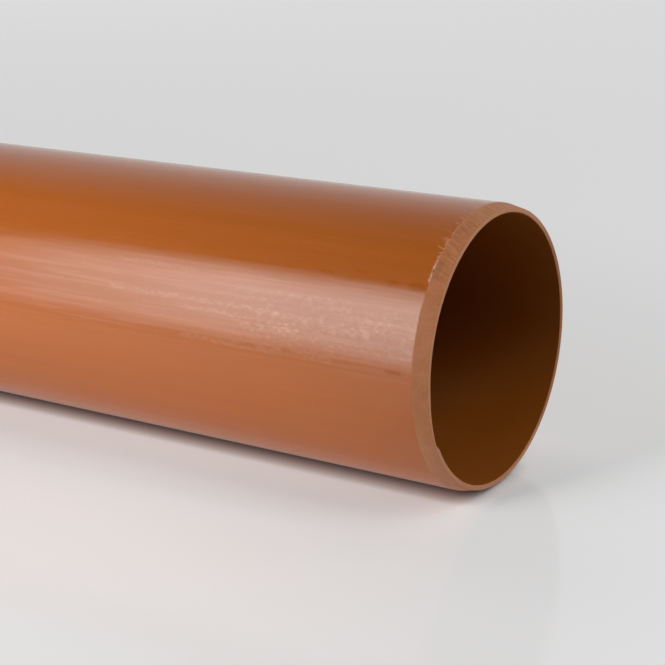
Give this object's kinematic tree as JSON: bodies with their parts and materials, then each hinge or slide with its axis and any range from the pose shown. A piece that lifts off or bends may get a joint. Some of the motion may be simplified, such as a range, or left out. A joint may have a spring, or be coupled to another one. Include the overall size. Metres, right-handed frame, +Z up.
{
  "type": "plastic drainage pipe",
  "caption": "Plain-ended terracotta plastic drainage pipe: a straight round tube lying on its side, with a shallow lead-in taper at each end for pushing into sockets.",
  "frame": {"origin": "on the ground under the middle of the pipe, as it lies on its side", "axes": "+X along the pipe's axis towards the end the picture shows, +Z up, +Y across the pipe away from the camera"},
  "size_m": [3, 0.1096, 0.11],
  "materials": {
    "terracotta_plastic": "gloss"
  },
  "bodies": {
    "root": {"pipe": "terracotta_plastic"}
  },
  "joints": []
}
